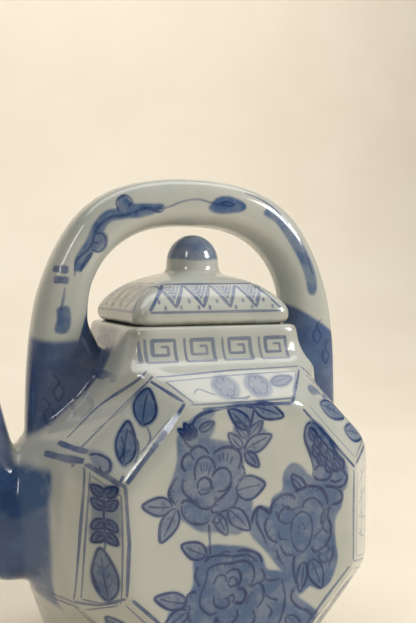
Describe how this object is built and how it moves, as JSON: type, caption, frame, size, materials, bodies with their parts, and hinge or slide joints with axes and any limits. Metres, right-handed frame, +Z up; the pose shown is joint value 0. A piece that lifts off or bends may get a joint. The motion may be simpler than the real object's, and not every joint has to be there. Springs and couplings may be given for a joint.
{
  "type": "octagonal flask teapot with overhead handle",
  "caption": "Porcelain teapot with an octagonal flask body, square neck and lid, fixed overhead arch handle and side spout, painted in underglaze blue.",
  "frame": {"origin": "middle of the pot's footprint on the table: the centre of the overall box in X and Y, at the foot's standing edge in Z", "axes": "+Z up; -X along the spout; Y through the two flat painted octagonal panels, the front one facing -Y"},
  "size_m": [0.2014, 0.1338, 0.2218],
  "materials": {
    "clear_glaze": "clear glossy glaze over greyish white porcelain, with thin underglaze blue painting",
    "cobalt_wash": "solid underglaze cobalt wash under clear glossy glaze",
    "dark_cobalt": "dense underglaze cobalt under clear glossy glaze",
    "pale_wash": "pale underglaze cobalt wash under clear glossy glaze",
    "bare_biscuit": "matt, wiped free of glaze on the standing edge"
  },
  "bodies": {
    "pot": {"body_front_half": "clear_glaze", "body_back_half": "clear_glaze", "foot_ring": "bare_biscuit", "neck_collar": "clear_glaze", "spout_collar": "pale_wash", "spout": "cobalt_wash", "handle_arch": "clear_glaze", "handle_root_left": "dark_cobalt", "handle_root_right": "dark_cobalt"},
    "lid": {"lid_cover": "clear_glaze", "lid_flange": "clear_glaze", "lid_knob": "pale_wash"}
  },
  "joints": [
    {"name": "lid_lift", "type": "slide", "parent": "pot", "child": "lid", "axis": [0, 0, 1], "range_m": [0, 0.003]}
  ]
}
